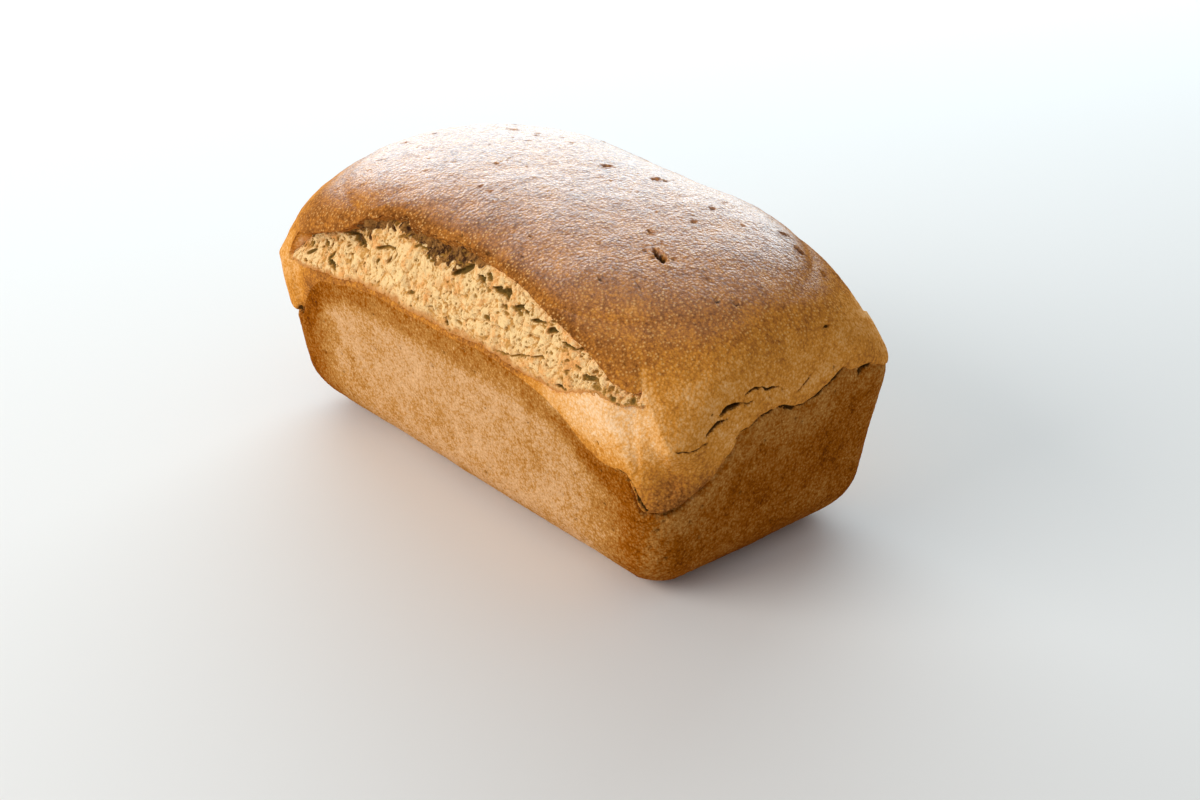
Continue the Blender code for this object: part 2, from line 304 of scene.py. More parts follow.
slitEdges = {"size": 2.2 * mm, "along": 0.4, "across": 0.5, "width": 0.66, "ragged": 0.6}


def fromCourse(course, place, height):
    # distance to a broken line, and how far along it from 0 to 1
    best, share = np.full(len(place), 1e9), np.zeros(len(place))
    for number, (start, end) in enumerate(zip(course, course[1:])):
        run, rise = end[0] - start[0], end[1] - start[1]
        passed = ((place - start[0]) * run + (height - start[1]) * rise) / (run * run + rise * rise)
        passed = np.clip(passed, 0, 1)
        gap = np.hypot(place - start[0] - passed * run, height - start[1] - passed * rise)
        share = np.where(gap < best, (number + passed) / (len(course) - 1), share)
        best = np.minimum(best, gap)
    return best, share


def cutSlits(facts, places):
    # depth of the slits, and how much painted shade darkens them
    x, y = facts["spotX"], facts["spotY"]
    toEnd = (rimWidth - np.abs(y)) > (rimLength - np.abs(x))
    chosen = {
        "end": (x > 0) & (toEnd | (y < -48 * mm)), "far": toEnd & (x < 0),
        "side": (y < 0) & (~toEnd | (np.abs(x) > 106 * mm)), "back": ~toEnd & (y > 0),
    }
    jitter = wobble(places, slitEdges["size"], 3, 4.1)
    depth, dark = np.zeros(len(x)), np.zeros(len(x))
    for slit in slits:
        on = np.nonzero(chosen[slit["side"]])[0]
        axis = 1 if slit["side"] in ("end", "far") else 0
        place = places[on, axis] / mm + slitEdges["along"] * jitter[on]
        height = places[on, 2] / mm + slitEdges["across"] * jitter[on]
        gap, share = fromCourse(slit["course"], place, height)
        taper = 0.35 + 0.65 * np.sin(np.pi * share) ** 0.5
        width = slitEdges["width"] * slit["width"] * taper * (1 + slitEdges["ragged"] * jitter[on])
        depth[on] = np.maximum(depth[on], slit["depth"] * np.clip(1.3 - gap / width, 0, 1))
        shade = np.clip(1.7 - gap / width, 0, 1) * min(1, slit["depth"] / 1.5)
        dark[on] = np.maximum(dark[on], shade)
    return depth * mm, dark


def moveFeatures(places, normals, facts):
    # fold, band, burst pocket and lip, as moves of the plain shape
    share, corner, opened, z = facts["share"], facts["corner"], facts["opened"], places[:, 2]
    onSide = (share > -1) & (share < 2)
    inBand = (share > 0) & (share < 1)
    fromCrease, pastLip = z - facts["crease"], np.maximum(z - facts["lip"], 0)
    slitDepth, slitDark = cutSlits(facts, places)
    away = np.hypot(np.abs(facts["spotX"]) - (rimLength - 5 * mm), facts["spotY"] + rimWidth - 9 * mm)
    atFold = 1 - smooth(away, 8 * mm, 26 * mm)
    foldWidth = mix(*crust["foldWidths"], atFold)
    fold = crust["foldDepth"] * atFold * bell(fromCrease, 0, foldWidth) * (1 - opened)
    groove = crust["grooveDepth"] * (1 - opened) * bell(fromCrease, 0, crust["grooveWidth"])
    out = -(fold + groove + slitDepth) * onSide
    swell = np.sin(np.pi * np.clip(share, 0, 1) ** 0.6)
    swell *= mix(crust["bandBulge"], crust["cornerBulge"], corner)
    swell *= mix(1.0, 0.35, smooth(opened, 0.0, 0.4) * (share < 0.5))
    out += inBand * swell * (1 - smooth(opened, 0.1, 0.6))
    footShare = np.clip((facts["foot"] - facts["crease"]) / (facts["seam"] - facts["crease"]), 0, 0.95)
    pocket = smooth(share, footShare, footShare + 0.05) * (1 - smooth(share, 0.96, 1.0))
    tip = smooth(facts["spotX"], -106 * mm, -90 * mm)
    out -= inBand * crust["pocket"] * smooth(opened, 0.02, 0.3) * pocket * mix(0.45, 1.0, tip)
    overLip = (share >= 0.97) * bell(pastLip, 0, crust["lipWidth"]) * (facts["spotY"] < 0)
    out += crust["lipRise"] * opened * overLip * mix(0.1, 1.0, tip)
    # the crown stands back a little over the band at the +X +Y corner
    back = smooth(facts["spotX"], 60 * mm, 112 * mm) * smooth(facts["spotY"], 20 * mm, 52 * mm)
    out -= crust["backStep"] * back * (share > 0.9) * bell(pastLip, 2 * mm, 11 * mm)
    out += crust["backSwell"] * back * inBand * np.sin(np.pi * np.clip(share, 0, 1))
    droop = crust["cornerDroop"] * atFold * (1 - opened) * (1 - smooth(share, 0.0, 0.4))
    rise = smooth(z, 71 * mm, form["height"])
    spots = (places / form["crownWaveLength"]).tolist()
    out += form["crownWave"] * rise * np.array([noise.noise(s) for s in spots])
    moved = places + normals * out[:, None]
    moved[:, 2] -= droop * inBand
    # painted shade in the slits and along the fold at the crease
    facts["dark"] = onSide * np.maximum(slitDark, atFold * (1 - opened) * bell(fromCrease, 0, 1.2 * mm))
    return moved


def nearDetail(bm):
    # edges close to the lip, the slits and the holes, where the grid is made twice as fine
    plain, facts = wrapLoaf(np.array([v.co[:] for v in bm.verts]))
    z = plain[:, 2]
    torn = facts["opened"] > 0.02
    fromSeam = z - facts["seam"]
    close = torn & (fromSeam > -2.0 * mm) & (fromSeam < 3 * mm)
    dark = cutSlits(facts, plain)[1]
    close |= dark > 0.01
    close |= (facts["corner"] > 0.5) & (np.abs(z - facts["crease"]) < 3 * mm)
    close &= (facts["share"] > -1) & (facts["share"] < 2)
    for hole in holes:
        away = np.linalg.norm(plain - holePlace(hole, plain), axis=1)
        close |= away < 0.8 * hole["size"][0] * mm
    return [e for e in bm.edges if close[e.verts[0].index] or close[e.verts[1].index]]


# holes and dents that gas left in the crown: place, size, turn and depth in mm and degrees, and how much
# painted shade darkens their inside
holes = [
    {"place": (71, -16), "size": (10, 4.6), "turn": -17, "depth": 4.2, "dark": 1.0},
    {"place": (57, -8), "size": (3.6, 2.2), "turn": 20, "depth": 1.6, "dark": 0.8},
    {"place": (2, 18), "size": (5, 3.4), "turn": 40, "depth": 0.9, "dark": 0.35},
    {"place": (23, 25), "size": (5, 4), "turn": 80, "depth": 1.0, "dark": 0.35},
    {"place": (91, -11), "size": (2.6, 2), "turn": 0, "depth": 0.9, "dark": 0.5},
    {"place": (100, -15), "size": (4.5, 1.3), "turn": 65, "depth": 1.3, "dark": 0.8},
    {"place": (104, -9), "size": (5.5, 1.5), "turn": 50, "depth": 1.4, "dark": 0.7},
    {"place": (118, 23), "size": (5.5, 1.5), "turn": -80, "depth": 1.4, "dark": 0.9},
    {"place": (79, 40), "size": (6, 3), "turn": 60, "depth": 0.9, "dark": 0.3},
    {"place": (88, 38), "size": (6, 4), "turn": 10, "depth": 1.1, "dark": 0.35},
    {"place": (98, 41), "size": (5, 3), "turn": -30, "depth": 0.8, "dark": 0.3},
    {"place": (28, -41), "size": (2, 1.4), "turn": 0, "depth": 0.9, "dark": 0.8},
    {"place": (34, -49), "size": (1.6, 1.3), "turn": 0, "depth": 0.7, "dark": 0.7},
    {"place": (67, -41), "size": (2.2, 1.5), "turn": 30, "depth": 0.9, "dark": 0.7},
    {"place": (-62, 22), "size": (6, 2.4), "turn": 15, "depth": 1.5, "dark": 0.6},
    {"place": (-88, -14), "size": (3, 2), "turn": 70, "depth": 1.1, "dark": 0.6},
    {"place": (-30, 44), "size": (4, 2.2), "turn": -25, "depth": 1.2, "dark": 0.6},
]


def holePlace(hole, places):
    # the crown's point nearest to the hole's place, seen from above
    x, y = hole["place"][0] * mm, hole["place"][1] * mm
    away = np.hypot(places[:, 0] - x, places[:, 1] - y) + np.where(places[:, 2] < 85 * mm, 1.0, 0.0)
    return places[np.argmin(away)]


def pressHoles(places, normals):
    # deepens the crown at each hole, and says how much painted shade darkens its inside
    dark = np.zeros(len(places))
    moved = places.copy()
    for hole in holes:
        centre = holePlace(hole, places)
        near = np.nonzero(np.linalg.norm(places - centre, axis=1) < 1.2 * hole["size"][0] * mm)[0]
        turn = math.radians(hole["turn"])
        ahead = np.array([math.cos(turn), math.sin(turn), 0.0])
        outward = normals[near].mean(0)
        outward /= np.linalg.norm(outward)
        ahead -= outward * ahead.dot(outward)
        ahead /= np.linalg.norm(ahead)
        across = np.cross(outward, ahead)
        offset = (places[near] - centre) / mm
        reach = np.hypot(offset @ ahead / hole["size"][0], offset @ across / hole["size"][1]) * 2
        reach += 0.35 * wobble(places[near], 1.6 * mm, 2, hole["place"][0])
        sink = hole["depth"] * (1 - smooth(reach, 0.45, 1.0))
        rim = 0.18 * bell(reach, 1.15, 0.22)
        moved[near] += outward * ((rim - sink) * mm)[:, None]
        dark[near] = np.maximum(dark[near], hole["dark"] * (1 - smooth(reach, 0.5, 1.05)))
    return moved, dark


def scatterPits(places, normals, chosen, pits):
    # small open pores, round and shallow, at random points of the chosen part
    tree = kdtree.KDTree(len(places))
    for index in np.nonzero(chosen)[0].tolist():
        tree.insert(places[index], index)
    tree.balance()
    rng = random.Random(pits["seed"])
    pool = np.nonzero(chosen)[0].tolist()
    sink = np.zeros(len(places))
    smallest, largest = pits["sizes"]
    for _ in range(pits["count"]):
        radius = min(largest, smallest * rng.paretovariate(2.5)) * mm
        for _, index, away in tree.find_range(places[rng.choice(pool)], radius):
            sink[index] = max(sink[index], pits["depth"] * radius * (1 - (away / radius) ** 2))
    return places - normals * sink[:, None], sink / mm


def makeGrid():
    bm = cubeGrid((crust["columns"], crust["ranks"], crust["rows"]))
    bm.verts.index_update()
    bmesh.ops.subdivide_edges(bm, edges=nearDetail(bm), cuts=1, use_grid_fill=True)
    mesh = bpy.data.meshes.new("loafGrid")
    bm.to_mesh(mesh)
    bm.free()
    return mesh


def closeCut(bm, lift):
    # turns the open rim inwards and closes it inside the loaf
    shrinkX, shrinkY = crust["cutShrink"]
    rim = [e for e in bm.edges if e.is_boundary]
    for edge in rim:
        edge.smooth = False
    turned = bmesh.ops.extrude_edge_only(bm, edges=rim)["geom"]
    for vert in turned:
        if isinstance(vert, bmesh.types.BMVert):
            vert.co.x *= shrinkX
            vert.co.y *= shrinkY
            vert.co.z += lift
    bmesh.ops.holes_fill(bm, edges=[e for e in bm.edges if e.is_boundary], sides=0)
    bmesh.ops.recalc_face_normals(bm, faces=bm.faces[:])


def partPiece(mesh, name, wanted, lift):
    bm = bmesh.new()
    bm.from_mesh(mesh)
    row = bm.verts.layers.float["row"]
    spare = [f for f in bm.faces if not wanted(max(v[row] for v in f.verts))]
    bmesh.ops.delete(bm, geom=spare, context="FACES")
    closeCut(bm, lift)
    part = bpy.data.meshes.new(name)
    bm.to_mesh(part)
    bm.free()
    piece = bpy.data.objects.new(name, part)
    bpy.context.scene.collection.objects.link(piece)
    print(name, sum(len(p.vertices) - 2 for p in part.polygons), "triangles")
    return piece


def setField(mesh, name, values):
    field = mesh.attributes.new(name, "FLOAT", "POINT")
    field.data.foreach_set("value", values.astype(np.float32))


def makeCrust():
    mesh = makeGrid()
    plain, facts = wrapLoaf(meshArray(mesh))
    setPlaces(mesh, plain)
    places = moveFeatures(plain, meshArray(mesh, "normal"), facts)
    setPlaces(mesh, places)
    normals = meshArray(mesh, "normal")
    share = facts["share"]
    onCrown = smooth(share, -0.02, 0.02)
    coarse = wobble(places, 20 * mm, 3, 1.3)
    middle = wobble(places, 5.5 * mm, 3, 2.9)
    fine = wobble(places, 1.9 * mm, 2, 5.2)
    coarseHeight = mix(crust["wallRelief"][0], crust["crownRelief"][0], onCrown)
    middleHeight = mix(crust["wallRelief"][1], crust["crownRelief"][1], onCrown)
    relief = coarseHeight * (coarse - 0.4) + middleHeight * middle + crust["fineRelief"] * fine
    relief *= smooth(places[:, 2], 0.0, 3 * mm)
    places = places + normals * (relief * mm)[:, None]
    places, dark = pressHoles(places, normals)
    inside = places[:, 2] > 1 * mm
    places, pits = scatterPits(places, normals, inside & (share <= 0), crust["wallPits"])
    places, morePits = scatterPits(places, normals, inside & (share > 0), crust["crownPits"])
    places += [form["middleX"], form["middleY"], 0]
    places = np.clip(places, np.array(low) + [0.02 * mm, 0.02 * mm, 0], np.array(high) - 0.02 * mm)
    setPlaces(mesh, places)
    setField(mesh, "row", facts["row"] + (share > 1.99))
    # fields that the materials read
    # painted shade, darkest in the slits, the crease fold, the holes and the deepest pores
    setField(mesh, "crack", np.clip(facts["dark"] + dark + 0.9 * (pits + morePits), 0, 1))
    setField(mesh, "browning", browning(places, facts, coarse, middle))
    faint = mix(0.56, 0.72, smooth(places[:, 0], -100 * mm, -30 * mm))
    gloss = smooth(normals[:, 2], faint, 0.96) * smooth(places[:, 2], 94 * mm, 108 * mm)
    setField(mesh, "gloss", gloss)
    speckled = mix(0.1, 0.75, smooth(places[:, 2] + 8 * mm * middle, 72 * mm, 98 * mm))
    setField(mesh, "speckled", np.maximum(speckled, 0.2 * onCrown))
    creaseRow = crust["creaseRow"] + 1e-3
    walls = partPiece(mesh, "tinBakedWalls", lambda row: row <= creaseRow, -crust["cutLift"])
    crown = partPiece(mesh, "crownCrust", lambda row: row > creaseRow, crust["cutLift"])
    bpy.data.meshes.remove(mesh)
    return walls, crown


# how dark each part of the crust is baked, from 0 pale gold to 1 dark brown
baking = {
    "wall": 0.26, "wallTop": 0.28, "wallFoot": 0.10,    # the last two are added near crease and foot
    "wallEnds": 0.46, "wallQuarters": 0.10, "farCorner": 0.10, "wallMost": 0.76,
    # the +X end wall's browner, amber tone is partly its own bake and partly painted shade for the end
    # turned from the lamps
    "endWall": 0.57, "endWallLow": 0.16,
    "sideBand": 0.37, "endBand": 0.43,
    # endCrease is painted shade on the pillow's underside just above the crease at the +X end
    "paleCorners": 0.28, "lowCorner": 0.36, "endCrease": 0.14,
    "underBurst": 0.74,
    "crown": 0.72, "lip": 0.10, "crownEnds": 0.44,
    "patches": 0.08, "mottle": 0.06,
}


def browning(places, facts, coarse, middle):
    share, opened, z = facts["share"], facts["opened"], places[:, 2]
    x, y = places[:, 0], places[:, 1]
    onEnd = smooth(np.abs(facts["spotX"]), rimLength - 14 * mm, rimLength)
    onSide = 1 - onEnd
    fromEnd = rimLength - np.abs(x)
    top = np.minimum(facts["crease"], 74 * mm)
    wall = baking["wall"] + baking["wallTop"] * smooth(z, top - 16 * mm, top - 5 * mm)
    wall += baking["wallFoot"] * (1 - smooth(z, 4 * mm, 16 * mm))
    wall += baking["wallEnds"] * (1 - smooth(fromEnd, 6 * mm, 46 * mm)) * onSide
    wall += baking["wallQuarters"] * (1 - smooth(fromEnd, 20 * mm, 70 * mm)) * onSide
    wall += baking["farCorner"] * (1 - smooth(x, -96 * mm, -60 * mm)) * onSide
    # the +X end wall: partly its own darker bake, partly painted shade for the end turned from the lamps
    endWall = baking["endWall"] + baking["endWallLow"] * smooth(facts["crease"] - z, 2 * mm, 26 * mm)
    wall = mix(np.minimum(wall, baking["wallMost"]), endWall, onEnd)
    band = mix(baking["sideBand"], baking["endBand"], onEnd)
    pale = bell(x, 90 * mm, 30 * mm) * smooth(z, 58 * mm, 74 * mm)
    pale += bell(x, -101 * mm, 9 * mm) * bell(z, 82 * mm, 9 * mm)
    pale = np.minimum(pale, 1) * (1 - onEnd * smooth(y, -60 * mm, -34 * mm))
    band -= baking["paleCorners"] * pale
    band += baking["lowCorner"] * (1 - smooth(z, 46 * mm, 68 * mm)) * mix(0.35, 1.0, onEnd)
    # painted shade under the pillow, just above the crease on the +X end
    band += baking["endCrease"] * (1 - smooth(z, facts["crease"], facts["crease"] + 7 * mm)) * onEnd
    underBurst = smooth(x, -100 * mm, -92 * mm) * (1 - smooth(x, 42 * mm, 66 * mm)) * onSide * (y < 0)
    band = mix(band, baking["underBurst"], underBurst)
    pastSeam = smooth(z, facts["seam"], facts["seam"] + 16 * mm)
    crown = baking["crown"] + baking["lip"] * opened * (1 - pastSeam)
    endRim = smooth(np.abs(x), 84 * mm, 118 * mm) * (1 - smooth(z, 84 * mm, 108 * mm))
    crown = mix(crown, baking["crownEnds"], endRim)
    torn = smooth(opened, 0, 0.3)
    below, above = mix(4.0, 1.2, torn) * mm, mix(12.0, 0.1, torn) * mm
    value = mix(band, crown, smooth(z, facts["seam"] - below, facts["seam"] + above))
    blur = mix(3.0, 4.0, onSide) * mm
    toBand = smooth(z - facts["crease"] + 2.5 * mm * middle, -blur, blur)
    value = mix(wall, value, np.where(share >= 2, 1.0, toBand))
    return np.clip(value + baking["patches"] * coarse + baking["mottle"] * middle, 0, 1)


# torn crumb that shows in the burst
crumb = {
    "start": -104 * mm, "end": 113 * mm,
    "below": 0.14, "above": 0.12,   # shares of the opening's height that it reaches past it
    "columns": 640, "rows": 132,
    "thickness": 4 * mm,
    "footDepth": 0.6, "roofDepths": (2.0, 3.6), "roofRise": 2.6, "endDepth": 2.2,   # mm behind the crust
    "lump": 10 * mm, "lumpHeight": 1.7,             # sizes of the crumb's grain, and heights in mm
    "bigCell": 4.6 * mm, "bigHeight": 0.9, "creviceDepth": 0.5,
    "smallCell": 1.9 * mm, "smallHeight": 0.3,
    "grain": 2.6 * mm, "grainHeight": 0.55,
    "tinyCell": 0.95 * mm, "tinyHeight": 0.2,
    "raggedRoof": 1.8,
    "pores": 5200, "poreRadius": (0.2, 0.55), "longPores": 420, "longRadius": (0.45, 1.05),
    # where the roof of the burst is toasted: (station, how far below the lip) in mm
    "toasted": [(-70, 0), (-62, 5), (-56, 9), (-48, 9.5), (-40, 6.5), (-30, 6), (-20, 5), (-9, 9),
                (3, 9), (12, 6), (22, 2), (30, 0)],
}

# crevices and large bubbles in the crumb, in mm: course as (station, height), half width and depth
tears = [
    {"course": [(-69, 93.5), (-62.5, 91.5), (-55, 90.2)], "width": 1.7, "depth": 3.0},
    {"course": [(-76.5, 77.2), (-72.5, 75.5)], "width": 1.5, "depth": 2.4},
    {"course": [(-84, 85), (-80, 81)], "width": 1.0, "depth": 1.6},
    {"course": [(-46, 92.5), (-38, 95), (-33, 94)], "width": 0.8, "depth": 1.4},
    {"course": [(-18, 105.4), (-17.4, 104.4)], "width": 1.3, "depth": 2.4},
    {"course": [(-11, 107.2), (-10.2, 106.4)], "width": 1.6, "depth": 3.0},
    {"course": [(-2.4, 108.8), (-1.6, 108.2)], "width": 1.7, "depth": 3.0},
    {"course": [(5.4, 107), (6.6, 106.2)], "width": 1.2, "depth": 2.4},
    {"course": [(-5.6, 103.4), (-4.4, 102.6)], "width": 1.3, "depth": 2.4},
    {"course": [(-25, 99), (-21, 101), (-16, 100)], "width": 0.8, "depth": 1.4},
    {"course": [(2, 97.5), (7, 100), (11.5, 103.2)], "width": 1.3, "depth": 2.8},
    {"course": [(16, 100.8), (21, 99.2)], "width": 1.2, "depth": 2.4},
    {"course": [(26.5, 100.2), (32, 100.5), (35, 100.2)], "width": 1.2, "depth": 2.4},
    {"course": [(40, 97.5), (44.5, 98.2), (49, 96.8)], "width": 1.0, "depth": 2.2},
    {"course": [(50, 96), (57.5, 97.5)], "width": 0.9, "depth": 2.0},
    {"course": [(59, 95.2), (64, 96.8)], "width": 1.2, "depth": 2.4},
    {"course": [(68.5, 94), (75.5, 94)], "width": 1.0, "depth": 2.2},
    {"course": [(76.5, 94.2), (82, 96.5)], "width": 1.0, "depth": 2.0},
    {"course": [(86, 93), (90, 92.2), (93.5, 89.8), (97.5, 89.2)], "width": 1.7, "depth": 3.0},
    {"course": [(33.5, 78.5), (42, 79.8), (50.5, 83), (58.5, 85.5), (62.5, 85)],
     "width": 0.6, "depth": 1.2},
    {"course": [(69.5, 79), (74, 78.5)], "width": 0.9, "depth": 1.8},
    {"course": [(11, 86.8), (12, 84.8)], "width": 0.8, "depth": 1.6},
    {"course": [(2.5, 80.8), (4.5, 79)], "width": 0.8, "depth": 1.6},
    {"course": [(-7.5, 82), (-3.5, 82)], "width": 0.8, "depth": 1.6},
]

tearEdges = {"size": 2.6 * mm, "along": 1.0, "across": 0.8, "width": 0.85, "ragged": 0.4}


def sideY(x, z):
    # the -Y side of the plain loaf at a station and a height
    length, width, corner = ringSizes(z)
    past = np.clip(np.abs(x) - (length - corner), 0, corner * 0.995)
    return -(width - corner + np.sqrt(corner ** 2 - past ** 2))


def makeCrumb():
    bm = bmesh.new()
    bmesh.ops.create_grid(bm, x_segments=crumb["columns"], y_segments=crumb["rows"], size=1)
    mesh = bpy.data.meshes.new("tornCrumb")
    bm.to_mesh(mesh)
    bm.free()
    grid = meshArray(mesh)
    x = mix(crumb["start"], crumb["end"], (grid[:, 0] + 1) / 2)
    share = mix(-crumb["below"], 1 + crumb["above"], (grid[:, 1] + 1) / 2)
    _, seam, foot, opened, _ = lineHeights(x, np.full(len(x), -rimWidth))
    z = mix(foot, np.maximum(seam, foot + 2 * mm), share)
    y = sideY(x, z)
    left = smooth(x, -72 * mm, -60 * mm) * (1 - smooth(x, -34 * mm, -4 * mm))
    deep = 1 - smooth(x, -30 * mm, 10 * mm)
    depth = crumb["footDepth"] + mix(*crumb["roofDepths"], deep) * smooth(share, 0.0, 0.75)
    depth -= crumb["roofRise"] * left * smooth(share, 0.78, 0.92)
    depth = mix(crumb["endDepth"], depth, smooth(opened, 0.05, 0.8))
    places = np.stack([x, y, z], 1)
    drift = 2.0 * mm * np.stack([wobble(places, 9 * mm, 2, seed) for seed in (1.1, 5.7, 8.2)], 1)
    bent = places + drift
    # cells stretched up the burst at its -X end, where the crumb was pulled apart
    slanted = bent[:, 2] * mix(0.85, 0.5, deep) + 0.15 * bent[:, 0]
    stretched = np.stack([bent[:, 0], bent[:, 1], slanted], 1)
    lumps = crumb["lumpHeight"] * wobble(places, crumb["lump"], 3, 11.3)
    big, crevice = cells(stretched, crumb["bigCell"])
    small, cleft = cells(stretched + drift, crumb["smallCell"])
    relief = lumps + crumb["bigHeight"] * big + crumb["smallHeight"] * small
    relief += crumb["grainHeight"] * wobble(stretched, crumb["grain"], 3, 7.7)
    relief -= crumb["creviceDepth"] * (1 - crevice)
    tiny, _ = cells(places, crumb["tinyCell"])
    ragged = left * smooth(share, 0.74, 0.84) * wobble(places, 3.0 * mm, 3, 4.4)
    middle = smooth(share, -0.02, 0.2) * mix(0.35, 1.0, opened)
    out = relief * mix(0.2, 1.0, middle) - depth + crumb["tinyHeight"] * tiny + crumb["raggedRoof"] * ragged
    pores = crumbPores(places + 0.5 * drift, share, seam - z, deep)
    torn = tearDepth(places)
    out -= np.maximum(pores, torn) * mix(0.3, 1.0, middle)
    places[:, 1] -= out * mm
    places += [form["middleX"], form["middleY"], 0]
    places[:, 1] = np.maximum(places[:, 1], low.y + 0.03 * mm)
    setPlaces(mesh, places)
    stations, spans = np.array(crumb["toasted"]).T
    span = np.interp(x / mm, stations, spans) * mm
    roof = span * (1 + 0.5 * wobble(places * [1.0, 1.0, 0.35], 3.2 * mm, 3, 2.8))
    # fields that the material reads
    # painted shade in the opened bubbles and crevices, darker where they are deeper
    setField(mesh, "hollow", np.clip(np.maximum(pores / 1.3, torn / 1.6), 0, 1))
    setField(mesh, "cleft", 0.6 * (1 - crevice) + 0.6 * (1 - cleft) - 0.25 * big)
    setField(mesh, "crest", np.clip(0.4 + 0.22 * lumps + 0.35 * big + 0.15 * small, 0, 1))
    setField(mesh, "share", share)
    setField(mesh, "burnt", smooth(roof - (seam - z), -1 * mm, 2 * mm) * (span > 0))
    bm = bmesh.new()
    bm.from_mesh(mesh)
    rim = [e for e in bm.edges if e.is_boundary]
    turned = bmesh.ops.extrude_edge_only(bm, edges=rim)["geom"]
    turned = [part for part in turned if isinstance(part, bmesh.types.BMVert)]
    bmesh.ops.translate(bm, verts=turned, vec=(0, crumb["thickness"], 0))
    bmesh.ops.holes_fill(bm, edges=[e for e in bm.edges if e.is_boundary], sides=0)
    bmesh.ops.recalc_face_normals(bm, faces=bm.faces[:])
    bm.to_mesh(mesh)
    bm.free()
    piece = bpy.data.objects.new("tornCrumb", mesh)
    bpy.context.scene.collection.objects.link(piece)
    print("tornCrumb", sum(len(p.vertices) - 2 for p in mesh.polygons), "triangles")
    return piece


def tearDepth(places):
    # depth in mm of the crevices drawn above, with ragged edges
    jitter = wobble(places, tearEdges["size"], 3, 6.6)
    place = places[:, 0] / mm + tearEdges["along"] * jitter
    height = places[:, 2] / mm + tearEdges["across"] * jitter
    depth = np.zeros(len(places))
    for tear in tears:
        gap, share = fromCourse(tear["course"], place, height)
        taper = 0.5 + 0.5 * np.sin(np.pi * share) ** 0.5
        width = tearEdges["width"] * tear["width"] * taper * (1 + tearEdges["ragged"] * jitter)
        depth = np.maximum(depth, tear["depth"] * np.clip(1.25 - gap / width, 0, 1) ** 0.7)
    return depth


def cells(points, size):
    # rounded lumps with crevices between them: height of each point, and 0 in a crevice
    found = [noise.voronoi(spot)[0] for spot in (points / size).tolist()]
    first, second = np.array(found)[:, :2].T
    return 1 - 1.6 * first, smooth(second - first, 0.0, 0.22)


def crumbPores(places, share, underLip, left):
    # depth in mm of the bubbles torn open: long ones in a chain under the lip, small ones everywhere
    rng = random.Random(7)
    tree = kdtree.KDTree(len(places))
    for index, spot in enumerate(places.tolist()):
        tree.insert(spot, index)
    tree.balance()
    depth = np.zeros(len(places))
    for number in range(crumb["pores"]):
        pick = rng.randrange(len(places))
        chain = math.exp(-((underLip[pick] / mm - 9.5) / 3.5) ** 2) * (1 - left[pick])
        chain = max(chain, 0.7 * left[pick] * max(0.0, share[pick] - 0.3))
        long = number < crumb["longPores"]
        if rng.random() > (0.06 + chain if long else 0.3 + 0.6 * share[pick]):
            continue
        smallest, largest = crumb["longRadius"] if long else crumb["poreRadius"]
        radius = rng.uniform(smallest, largest) if long else min(largest, smallest * rng.paretovariate(1.9))
        stretch = rng.uniform(1.6, 3.6) if long else rng.uniform(1.0, 1.5)
        lean = rng.uniform(-0.5, 0.3) - 0.25 + 1.2 * left[pick]
        deep = rng.uniform(1.0, 1.9) * radius
        centre, ahead = places[pick], np.array([math.cos(lean), math.sin(lean)])
        near = np.array([found[1] for found in tree.find_range(centre, radius * stretch * mm)])
        offset = (places[near] - centre)[:, [0, 2]] / mm
        side = offset[:, 1] * ahead[0] - offset[:, 0] * ahead[1]
        far = (offset @ ahead / (radius * stretch)) ** 2 + (side / radius) ** 2
        depth[near] = np.maximum(depth[near], deep * np.clip(1 - far, 0, 1) ** 0.6)
    return depth


class Wire:
    # a socket that can be used in sums
    def __init__(self, tree, socket):
        self.tree, self.socket = tree, socket

    def node(self, kind, settings=None, inputs=None, output=0):
        made = self.tree.nodes.new(kind)
        for name, value in (settings or {}).items():
            if name == "stops":
                ramp = made.color_ramp
                while len(ramp.elements) < len(value):
                    ramp.elements.new(0.5)
                for element, (place, colour) in zip(ramp.elements, value):
                    element.position = place
                    element.color = (*colour, 1)
            else:
                setattr(made, name, value)
        for name, value in (inputs or {}).items():
            if isinstance(value, Wire):
                self.tree.links.new(value.socket, made.inputs[name])
            else:
                made.inputs[name].default_value = value
        return Wire(self.tree, made.outputs[output])

    def maths(self, operation, first, second=0.0):
        return self.node("ShaderNodeMath", {"operation": operation}, {0: first, 1: second})

    def __add__(self, other):
        return self.maths("ADD", self, other)

    __radd__ = __add__

    def __sub__(self, other):
        return self.maths("SUBTRACT", self, other)

    def __rsub__(self, other):
        return self.maths("SUBTRACT", other, self)

    def __mul__(self, other):
        return self.maths("MULTIPLY", self, other)

    __rmul__ = __mul__

    def between(self, start, end):
        # 0 at start, 1 at end, held beyond them
        return self.node("ShaderNodeMapRange", {"interpolation_type": "SMOOTHSTEP"},
                         {"Value": self, "From Min": start, "From Max": end})

    def blend(self, start, end):
        # from one colour to another as this goes from 0 to 1
        return self.node("ShaderNodeMix", {"data_type": "RGBA"}, {0: self, 6: start, 7: end}, 2)


def newMaterial(name):
    material = bpy.data.materials.new(name)
    material.use_nodes = True
    shader = material.node_tree.nodes["Principled BSDF"]
    start = Wire(material.node_tree, None)
    return material, shader, start


def link(material, wire, shader, name):
    material.node_tree.links.new(wire.socket, shader.inputs[name])


def field(start, name):
    return start.node("ShaderNodeAttribute", {"attribute_name": name}, output=2)


def grains(start, place, size, detail=2.0, rough=0.5):
    # noise from 0 to 1 whose features are about this size
    return start.node("ShaderNodeTexNoise", {}, {
        "Vector": place, "Scale": 1 / size, "Detail": detail, "Roughness": rough})


